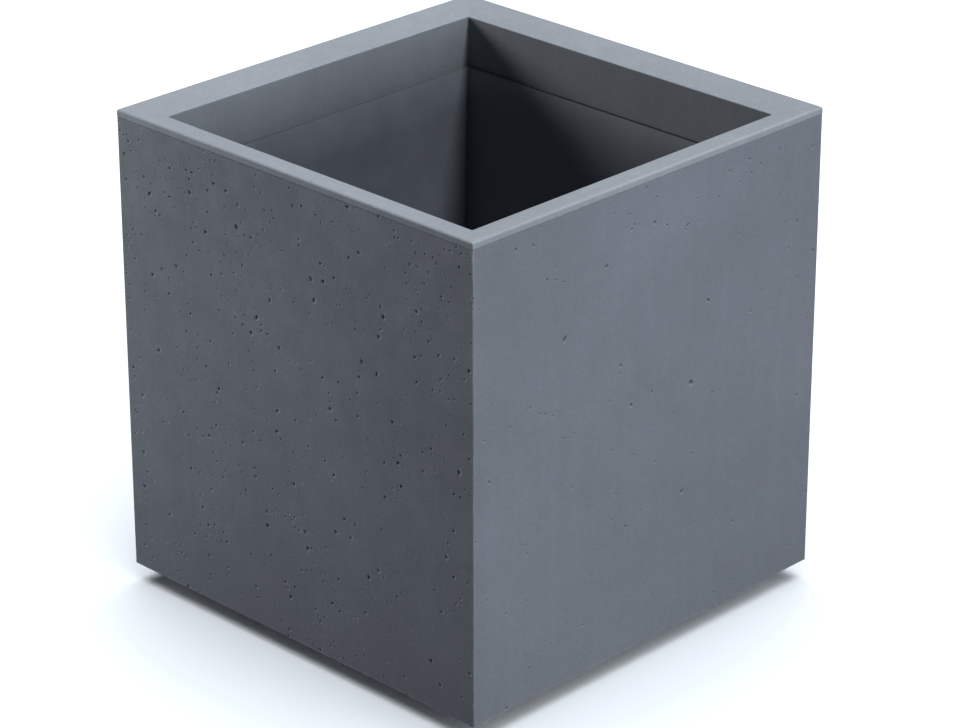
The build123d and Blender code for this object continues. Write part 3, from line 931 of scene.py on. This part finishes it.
def makeRim():
    low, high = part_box("rim_collar")
    outer = high.x
    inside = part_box("panel_front")[1].y * -1
    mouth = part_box("top_rail_front")[1].y * -1 - 0.001
    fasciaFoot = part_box("panel_front")[1].z
    edgeHeight = fasciaFoot + rimLook["fasciaHeight"]
    slope = math.atan2(rimLook["fall"], outer - mouth)
    lean = 90 + math.degrees(slope)

    def slopeHeight(x):
        return edgeHeight - (outer - x) * math.tan(slope)

    profile = [
        (inside, low.z + 0.0004), (inside, fasciaFoot), (outer - rimLook["footArris"], fasciaFoot),
        (outer, fasciaFoot + rimLook["footArris"])
    ]
    r = rimLook["rounding"]
    profile += arcPoints((outer - r, slopeHeight(outer - r) - r / math.cos(slope)), r, 0, lean, 7)
    m = rimLook["mouthRounding"]
    profile += arcPoints((mouth + m, slopeHeight(mouth + m) - m / math.cos(slope)), m, lean, 180, 5)
    profile += [(mouth, low.z + 0.0004), (mouth + 0.0004, low.z), (inside - 0.0004, low.z)]
    rings = []
    for x, z in profile:
        if z > fasciaFoot + 0.001:
            share = (outer - x) / (outer - mouth)
        else:
            share = 0 if x > inside + 0.001 else 0.4
        if x < mouth + 0.0006:
            share = 1
        radius = rimLook["outerCorner"] + (rimLook["mouthCorner"] - rimLook["outerCorner"]) * share
        rings.append(squareRing(x, radius, z, arcSteps=6))
    buildPiece(
        "rimCollar", rings, "shell", "smooth_concrete", "rim_collar", closed=True, smoothAngle=28
    )


# Liner with its lugs and drain

linerLook = {
    "sheet": 0.0015,
    "bend": 0.003,
    "corner": 0.003,
    "wave": 0.0005,
    "sideSteps": 10,
    "wallSteps": 8,
    "lugLeg": 0.070,
    "lugInset": 0.025,
    "eyeRadius": 0.010,
    "lugThickness": 0.003,
}


def makeLiner():
    low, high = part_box("liner_tub")
    out, sheet, bend = high.x, linerLook["sheet"], linerLook["bend"]
    inner = out - sheet
    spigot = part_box("drain_spigot")[1].x
    floor = low.z + sheet
    steps = linerLook["wallSteps"]
    innerBend = bend - sheet

    def ring(x, z, radius):
        return squareRing(x, radius, z, arcSteps=6, sideSteps=linerLook["sideSteps"])

    def waved(points):
        made = []
        for x, y, z in points:
            along, fixed = (x, y) if abs(x) < abs(y) else (y, x)
            middle = math.cos(min(abs(along) / out, 1) * math.pi / 2)
            swell = middle * math.sin(math.pi * (z - low.z) / (high.z - low.z))
            shift = linerLook["wave"] * swell * (0.6 + 0.4 * math.sin(along * 31 + z * 17))
            towards = -1 if fixed > 0 else 1
            moved = fixed + towards * shift
            made.append((x, moved, z) if abs(x) < abs(y) else (moved, y, z))
        return made

    corner = linerLook["corner"]
    rings = [ring(spigot, low.z, spigot)]
    rings += [ring(x, z, corner) for x, z in arcPoints((out - bend, low.z + bend), bend, -90, 0, 5)]
    for k in range(1, steps):
        z = low.z + bend + (high.z - low.z - bend - sheet) * k / steps
        rings.append(waved(ring(out, z, corner)))
    rings += [
        ring(x, z, corner - (out - x)) for x,
        z in arcPoints((out - sheet / 2, high.z - sheet / 2), sheet / 2, 0, 180, 6)
    ]
    for k in range(steps - 1, 0, -1):
        z = low.z + bend + (high.z - low.z - bend - sheet) * k / steps
        rings.append(waved(ring(inner, z, corner - sheet)))
    rings += [
        ring(x, z, corner - sheet) for x,
        z in arcPoints((inner - innerBend, floor + innerBend), innerBend, 0, -90, 4)
    ]
    rings.append(ring(spigot, floor, spigot))
    buildPiece("linerTub", rings, "liner", "liner_coat", "liner_tub", closed=True, smoothAngle=35)


def makeLugs():
    low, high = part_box("lifting_lug_front_left")
    leg, inset = linerLook["lugLeg"], linerLook["lugInset"]
    corner = Vector((low.x, low.y))
    nip = 0.004  # how far the tips and the inner corner are cut back
    outline = [
        (0.0025, 0.0), (leg - nip, 0.0), (leg - nip * 0.9, nip * 0.35),
        (nip * 0.35, leg - nip * 0.9), (0.0, leg - nip), (0.0, 0.0025),
    ]
    for name, turn in (("front_left", 0), ("back_right", 180)):
        curve = bpy.data.curves.new("lugOutline", "CURVE")
        curve.dimensions, curve.fill_mode = "2D", "BOTH"
        edge = 0.0004
        curve.extrude = linerLook["lugThickness"] / 2 - edge
        curve.bevel_depth, curve.bevel_resolution = edge, 2
        curve.offset = -edge
        eye = roundRing(linerLook["eyeRadius"], 0, (inset, inset), 40)
        for ring in ([(*p, 0) for p in outline], eye):
            spline = curve.splines.new("POLY")
            spline.points.add(len(ring) - 1)
            for point, place in zip(spline.points, ring):
                point.co = (place[0] + corner.x, place[1] + corner.y, 0, 1)
            spline.use_cyclic_u = True
        lug = bpy.data.objects.new(f"liftingLug_{name}", curve)
        addToScene(lug)
        graph = bpy.context.evaluated_depsgraph_get()
        mesh = bpy.data.meshes.new_from_object(lug.evaluated_get(graph), depsgraph=graph)
        bpy.data.objects.remove(lug)
        mesh.transform(Matrix.Translation((0, 0, (low.z + high.z) / 2)))
        lug = bpy.data.objects.new(f"liftingLug_{name}", mesh)
        addToScene(lug)
        mesh.materials.clear()
        mesh.materials.append(finishes["liner_coat"])
        tidyMesh(lug, 30)
        turnMesh(lug, turn)
        fitPiece(lug, "liner", "liner_coat", f"lifting_lug_{name}")


def weldTree():
    tree, given = startTree("weldBead", {"Step": "Float", "Radius": "Float", "Seed": "Int"})
    line = geo(tree, "MeshToCurve", {"Mesh": given["Geometry"]})
    along = put(
        tree, "GeometryNodeCurveToPoints", {"Curve": line, "Length": given["Step"]}, mode="LENGTH"
    ).outputs
    size = randomSize(tree, 0.82, 1.12, given["Seed"])
    size = times(tree, size, given["Radius"])
    scale = sha(tree, "CombineXYZ", {"X": size, "Y": size, "Z": times(tree, size, 0.8)})
    drop = geo(tree, "MeshUVSphere", {"Segments": 8, "Rings": 6, "Radius": 1.0})
    drops = geo(
        tree, "InstanceOnPoints",
        {"Points": along["Points"], "Instance": drop, "Rotation": along["Rotation"], "Scale": scale}
    )
    drops = geo(tree, "SetShadeSmooth", {"Geometry": drops})
    endTree(tree, drops, finishes["liner_coat"])
    return tree


weldLook = {"step": 0.0016, "radius": 0.0014, "seed": 3}


def makeWelds():
    tree = weldTree()
    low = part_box("lifting_lug_front_left")[0]
    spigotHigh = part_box("drain_spigot")[1]
    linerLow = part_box("liner_tub")[0]
    under, reach = low.z, linerLook["lugLeg"] - 0.006
    points = [
        (low.x + 0.0004, low.y + 0.004, under), (low.x + 0.0004, low.y + reach, under),
        (low.x + 0.004, low.y + 0.0004, under), (low.x + reach, low.y + 0.0004, under),
    ]
    points += [(-x, -y, z) for x, y, z in points]
    edges = [(k, k + 1) for k in range(0, 8, 2)]
    ring = roundRing(spigotHigh.x + 0.0004, linerLow.z - 0.0004, (0, 0), 40)
    edges += [(8 + k, 8 + (k + 1) % 40) for k in range(40)]
    beads = makePiece("weldBeads", [*points, *ring], edges=edges)
    runTree(
        beads, tree,
        {"Step": weldLook["step"], "Radius": weldLook["radius"], "Seed": weldLook["seed"]}
    )
    fitPiece(beads, "liner", "liner_coat")


threadLook = {"ringsPerTurn": 5, "depth": 0.62}  # depth of the groove as a share of the pitch


def threadRings(radius, pitch, start, end, count, centre=(0, 0)):
    steps = max(2, round((end - start) / pitch * threadLook["ringsPerTurn"]))
    rings = []
    for k in range(steps + 1):
        z = start + (end - start) * k / steps
        ring = []
        for j in range(count):
            t = 2 * math.pi * j / count
            phase = (z / pitch - j / count) % 1
            wave = abs(2 * phase - 1)
            fade = min(1, k / 4, (steps - k) / 4)
            depth = threadLook["depth"] * pitch * (wave * fade + (1 - fade) * 0.5)
            r = radius - depth
            ring.append((centre[0] + r * math.cos(t), centre[1] + r * math.sin(t), z))
        rings.append(ring)
    return rings


drainLook = {"wall": 0.003, "spigotEdge": 0.0008, "plugPitch": 0.002309, "plugClearance": 0.0001}


def makeDrain():
    low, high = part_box("drain_spigot")
    floor = high.z
    outer = high.x
    bore, edge = outer - drainLook["wall"], drainLook["spigotEdge"]
    profile = [
        (bore + edge, low.z), (outer - edge, low.z), (outer, low.z + edge), (outer, floor - 0.0005),
        (outer - 0.0005, floor),
        (bore + 0.0006, floor), (bore, floor - 0.0006), (bore, low.z + edge),
    ]
    rings = turned(profile, count=64)
    buildPiece("drainSpigot", rings, "liner", "liner_coat", "drain_spigot", closed=True)

    low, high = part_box("drain_plug")
    flats = high.y - low.y
    gasketLow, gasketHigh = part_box("plug_gasket")
    corner = acrossCorners(flats)
    shank = bore - drainLook["plugClearance"]
    rings = [
        hexRing(flats, corner * 0.60, low.z + 0.0022), hexRing(
            flats, corner * 0.68, low.z + 0.0004
        ),
        hexRing(flats, corner * 0.72, low.z), hexRing(flats, corner * 0.93, low.z), hexRing(
            flats, corner * 0.985, low.z + 0.0012
        ),
        hexRing(flats, corner * 1.01, low.z + 0.0016), hexRing(
            flats, corner * 1.01, gasketLow.z - 0.0012
        ),
        hexRing(
            flats, corner * 0.96, gasketLow.z - 0.0002
        ), hexRing(flats, corner * 0.94, gasketLow.z),
        roundRing(shank - 0.001, gasketLow.z, count=48), roundRing(
            shank - 0.001, gasketHigh.z, count=48
        ),
    ]
    rings += threadRings(shank, drainLook["plugPitch"], gasketHigh.z + 0.0004, high.z - 0.001, 48)
    rings += [
        roundRing(shank - 0.0018, high.z - 0.0004, count=48),
        roundRing(shank - 0.0024, high.z, count=48)
    ]
    buildPiece("drainPlug", rings, "plug", "insert_brass", "drain_plug", smoothAngle=30)

    edge = flats / 2
    mid = (gasketLow.z + gasketHigh.z) / 2
    thick = (gasketHigh.z - gasketLow.z) / 2
    profile = [
        (bore, gasketLow.z + 0.0004), (bore + 0.0004, gasketLow.z), (edge - thick, gasketLow.z)
    ]
    profile += arcPoints((edge - thick, mid), thick, -90, 90, 8)
    profile += [(bore + 0.0004, gasketHigh.z), (bore, gasketHigh.z - 0.0004)]
    rings = turned(profile, count=64)
    buildPiece("plugGasket", rings, "plug_seal", "sole_rubber", "plug_gasket", closed=True)


knobLook = {"neck": 0.0035, "waist": 0.004, "rounding": 0.0026}


def makeKnob():
    low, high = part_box("strainer_knob")
    neck, head, bend = knobLook["neck"], high.x, knobLook["rounding"]
    waist = low.z + knobLook["waist"]
    profile = [
        (0.0052, low.z), (neck + 0.0006, low.z + 0.0006), (neck, low.z + 0.0015),
        (neck, waist - 0.0008), (neck + 0.0008, waist),
        (head - 0.0006, waist + 0.0001), (head, waist + 0.0008),
    ]
    grip = [
        (head - 0.0004, waist + 0.0022), (head, waist + 0.0026), (head - 0.0004, waist + 0.0038),
        (head, waist + 0.0042)
    ]
    profile += grip
    profile += arcPoints((head - bend, high.z - bend - 0.0002), bend, 0, 80, 6)
    profile += [
        (head - 0.0040, high.z - 0.00005), (0.0022, high.z), (0.0016, high.z - 0.0005),
        (0.0006, high.z - 0.0006)
    ]
    rings = turned(profile, count=40)
    buildPiece(
        "strainerKnob", rings, "strainer_cap", "stainless_sheet", "strainer_knob", smoothAngle=38
    )


# Levelling feet

footLook = {
    "socket": 0.0050,  # radius of the hole in the pad
    "hub": 0.0086,
    "thread": 0.00495,
    "hexHeight": 0.004,
    "studFlats": 0.014,
    "studPitch": 0.0015,
    "ribs": 16,
    "ribSize": (0.006, 0.0016, 0.0012),
    "soleGrooves": (0.0065, 0.0105, 0.0145),
    "grooveWidth": 0.0012,
    "grooveDepth": 0.0008,
}


def ribTree():
    tree, given = startTree(
        "padRibs",
        {"Count": "Int", "Ring Radius": "Float", "Rib Size": "Vector", "Centre": "Vector"}
    )
    circle = geo(tree, "MeshCircle", {"Vertices": given["Count"], "Radius": given["Ring Radius"]})
    position = geo(tree, "InputPosition")
    turn = fun(tree, "AlignRotationToVector", {"Vector": position}, axis="X", pivot_axis="Z")
    rib = geo(tree, "MeshCube", {"Size": given["Rib Size"]})
    ribs = geo(tree, "InstanceOnPoints", {"Points": circle, "Instance": rib, "Rotation": turn})
    moved = geo(tree, "Transform", {"Geometry": ribs, "Translation": given["Centre"]})
    both = put(tree, "GeometryNodeJoinGeometry")
    tree.links.new(moved, both.inputs[0])
    tree.links.new(given["Geometry"], both.inputs[0])
    endTree(tree, both.outputs[0], finishes["foot_plastic"])
    return tree


def makeFeet():
    ribs = ribTree()
    for corner in cornerNames:
        low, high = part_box(f"foot_sole_{corner}")
        centre = ((low.x + high.x) / 2, (low.y + high.y) / 2)
        radius = (high.x - low.x) / 2
        depth, half = footLook["grooveDepth"], footLook["grooveWidth"] / 2
        profile = [(0.0008, low.z + 0.0002), (0.0012, low.z)]
        for groove in footLook["soleGrooves"]:
            profile += [
                (groove - half, low.z), (groove - half * 0.6, low.z + depth),
                (groove + half * 0.6, low.z + depth), (groove + half, low.z)
            ]
        profile += [
            (radius - 0.0008, low.z), (radius - 0.0002, low.z + 0.0003), (radius, low.z + 0.0009),
            (radius, high.z)
        ]
        rings = turned(profile, centre)
        buildPiece(
            f"footSole_{corner}", rings, f"pad_{corner}", "sole_rubber", f"foot_sole_{corner}"
        )

        low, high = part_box(f"foot_pad_{corner}")
        socket, hub = footLook["socket"], footLook["hub"]
        drop = footLook["ribSize"][2]
        profile = [
            (radius, low.z), (radius, high.z - 0.0022), (radius - 0.0004, high.z - 0.0016), (
                radius - 0.0012, high.z - 0.0012
            ),
            (
                radius - 0.0022, high.z - drop
            ), (hub + 0.0006, high.z - drop), (hub, high.z - 0.0006), (hub - 0.0004, high.z),
            (socket + 0.0004, high.z), (socket, high.z - 0.0004), (socket, low.z + 0.0015),
        ]
        rings = turned(profile, centre)
        pad = loft(f"footPad_{corner}", rings, finishes["foot_plastic"])
        runTree(pad, ribs, {
            "Count": footLook["ribs"], "Ring Radius": (radius + hub) / 2 - 0.0004,
            "Rib Size": footLook["ribSize"],
            "Centre": (*centre, high.z - drop / 2 - 0.0001),
        })
        fitPiece(pad, f"pad_{corner}", "foot_plastic", f"foot_pad_{corner}")

        low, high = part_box(f"foot_stud_{corner}")
        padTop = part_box(f"foot_pad_{corner}")[1].z
        thread, flats = footLook["thread"], footLook["studFlats"]
        hexTop = padTop + footLook["hexHeight"]
        wide = acrossCorners(flats)
        rings = [
            roundRing(thread - 0.0004, low.z, centre), roundRing(thread, low.z + 0.0004, centre),
            roundRing(thread, padTop, centre)
        ]
        rings += [
            hexRing(flats, wide * 0.94, padTop, centre),
            hexRing(flats, wide * 1.01, padTop + 0.0005, centre)
        ]
        rings += [
            hexRing(flats, wide * 1.01, hexTop - 0.0005, centre),
            hexRing(flats, wide * 0.94, hexTop, centre)
        ]
        rings.append(roundRing(thread - 0.0004, hexTop, centre))
        rings += threadRings(
            thread, footLook["studPitch"], hexTop + 0.0002, high.z - 0.0008, 48, centre
        )
        rings += [
            roundRing(thread - 0.0010, high.z - 0.0004, centre),
            roundRing(thread - 0.0014, high.z, centre)
        ]
        buildPiece(
            f"footStud_{corner}", rings, f"stud_{corner}", "zinc_hardware", f"foot_stud_{corner}",
            smoothAngle=28
        )


# Screws, sockets, nuts and bushes

screwLook = {
    "shank": 0.00245,
    "head": 0.00475,
    "pitch": 0.0008,
    "socketFlats": 0.003,
    "socketDepth": 0.0016,
    "headHeight": 0.0028,
}


def patternTree():
    tree, given = startTree("hardwarePattern", {"Part": "Object", "Material": "Material"})
    turn = geo(tree, "InputNamedAttribute", {"Name": "turn"}, data_type="FLOAT_VECTOR")
    turn = fun(tree, "EulerToRotation", {0: turn})
    part = put(tree, "GeometryNodeObjectInfo", {"Object": given["Part"]}).outputs["Geometry"]
    parts = geo(
        tree, "InstanceOnPoints", {"Points": given["Geometry"], "Instance": part, "Rotation": turn}
    )
    endTree(tree, parts, given["Material"])
    return tree


insertLook = {"radius": 0.004, "bore": 0.0025, "knurl": 0.0012, "knurlStep": 0.0020}
footBore = 0.005  # of the lock nuts and bushes
hardware = patternTree()


def spreadPart(name, node, part, slotName, placeOf):
    places = [placeOf(*box) for box in solidBoxes(node)]
    pattern = makePiece(name, [p for p, turn in places])
    turns = pattern.data.attributes.new("turn", "FLOAT_VECTOR", "POINT")
    turns.data.foreach_set("vector", [v for p, turn in places for v in turn])
    runTree(pattern, hardware, {"Part": part, "Material": finishes[slotName]})
    bpy.data.objects.remove(part)
    fitPiece(pattern, "shell", slotName, node)
    print(name, len(places), "placed,", len(pattern.data.polygons), "faces")


def sideTurn(centre):
    if abs(centre.x) > abs(centre.y):
        return (math.pi / 2, 0, math.pi / 2 if centre.x > 0 else -math.pi / 2)
    return (math.pi / 2, 0, 0 if centre.y < 0 else math.pi)


def outerPlace(low, high):
    centre = (low + high) / 2
    along = 0 if abs(centre.x) > abs(centre.y) else 1
    centre[along] = low[along] if centre[along] > 0 else high[along]
    return centre, sideTurn(centre)


def risingPlace(low, high):
    return Vector(((low.x + high.x) / 2, (low.y + high.y) / 2, low.z)), (0, 0, 0)


def sinkingPlace(low, high):
    return Vector(((low.x + high.x) / 2, (low.y + high.y) / 2, high.z)), (math.pi, 0, 0)


# Drawn standing on its head at the origin, with the thread pointing up.
def screwPart(length, countersunk=False):
    thread, wide, head = screwLook["shank"], screwLook["head"], screwLook["headHeight"]
    flats, deep = screwLook["socketFlats"], screwLook["socketDepth"]
    reach = acrossCorners(flats) * 1.01
    count = 24
    rings = [hexRing(flats, reach, z, count=count) for z in (deep, 0.0002)]
    if countersunk:
        head = wide - thread
        profile = [(wide - 0.0001, 0), (wide, 0.0002), (thread, head)]
    else:
        profile = [
            (wide - 0.0010, 0), (wide - 0.0003, 0.0003), (wide, 0.0010), (wide, head - 0.0002),
            (wide - 0.0002, head), (thread - 0.0002, head),
        ]
    rings += turned(profile, count=count)
    rings += threadRings(thread, screwLook["pitch"], head + 0.0002, length - 0.0004, count)
    rings.append(roundRing(thread * 0.7, length, count=count))
    return loft("screwPart", rings, finishes["zinc_hardware"], smoothAngle=30)


def insertPart(length):
    radius, bore, knurl = insertLook["radius"], insertLook["bore"], insertLook["knurl"]
    profile = [(bore, 0.0004), (bore + 0.0003, 0), (radius - 0.0003, 0)]
    z = 0.0005
    while z < length - knurl:
        profile += [(radius, z), (radius, z + knurl), (radius - 0.0005, z + knurl + 0.0003)]
        z += insertLook["knurlStep"]
        profile.append((radius - 0.0005, z - 0.0003))
    profile += [(radius - 0.0003, length), (bore, length)]
    rings = turned(profile, count=24)
    return loft("insertPart", rings, finishes["insert_brass"], closed=True, smoothAngle=30)


def nutPart(height, flats, bore):
    wide = acrossCorners(flats)
    rings = [
        roundRing(bore, 0.0005), roundRing(bore + 0.0005, 0), hexRing(flats, wide * 0.93, 0),
        hexRing(flats, wide * 0.99, 0.0006),
        hexRing(flats, wide * 1.01, 0.0009), hexRing(flats, wide * 1.01, height - 0.0009), hexRing(
            flats, wide * 0.99, height - 0.0006
        ),
        hexRing(flats, wide * 0.93, height), roundRing(bore + 0.0005, height),
        roundRing(bore, height - 0.0005),
    ]
    return loft("nutPart", rings, finishes["zinc_hardware"], closed=True, smoothAngle=30)


def bushPart(height, radius, bore):
    edge = 0.0004
    profile = [
        (bore, edge), (bore + edge, 0), (radius - edge, 0), (radius, edge), (radius, height - edge),
        (radius - edge, height), (bore + edge, height), (bore, height - edge)
    ]
    return loft("bushPart", turned(profile), finishes["zinc_hardware"], closed=True)


def makeHardware():
    def longest(node):
        low, high = solidBoxes(node)[0]
        return max(high - low)

    for name, node, placeOf, countersunk in (
        ("panelScrews", "panel_screws", outerPlace, False),
        ("collarScrews", "collar_screws", risingPlace, False),
        ("plinthScrews", "plinth_screws", risingPlace, False),
        ("boardScrews", "board_screws", sinkingPlace, True),
    ):
        spreadPart(name, node, screwPart(longest(node), countersunk), "zinc_hardware", placeOf)
    for name, node, placeOf in (
        ("panelInserts", "panel_inserts", outerPlace),
        ("collarInserts", "collar_inserts", risingPlace),
    ):
        spreadPart(name, node, insertPart(longest(node)), "insert_brass", placeOf)
    low, high = solidBoxes("foot_lock_nuts")[0]
    nut = nutPart(high.z - low.z, high.y - low.y, footBore)
    spreadPart("footLockNuts", "foot_lock_nuts", nut, "zinc_hardware", risingPlace)
    low, high = solidBoxes("foot_bushes")[0]
    bush = bushPart(high.z - low.z, (high.x - low.x) / 2, footBore)
    spreadPart("footBushes", "foot_bushes", bush, "zinc_hardware", risingPlace)


# Floor

def makeFloor():
    half = studio["floorSize"] / 2
    material, tree, shader, place = startMaterial("studioFloor")
    soft = noise(tree, place, 3.0, 2.0)
    tint = mixColour(tree, soft, shade(studio["floorColour"], 0.99), colour(studio["floorColour"]))
    tree.links.new(tint, shader.inputs["Base Color"])
    shader.inputs["Roughness"].default_value = 0.9
    shader.inputs["Specular IOR Level"].default_value = 0.1
    floor = makePiece(
        "studioFloor", [(-half, -half, 0), (half, -half, 0), (half, half, 0), (-half, half, 0)],
        [(0, 1, 2, 3)], material
    )
    floor.visible_diffuse = False  # the cards give the bounce, so the box isn't lit from below
    return floor


makeCamera()
makeLights(makeFloor())
makePanels()
makeRim()
makeLiner()
makeLugs()
makeWelds()
makeDrain()
makeKnob()
print("concrete, liner and drain done")
makeFeet()
makeHardware()
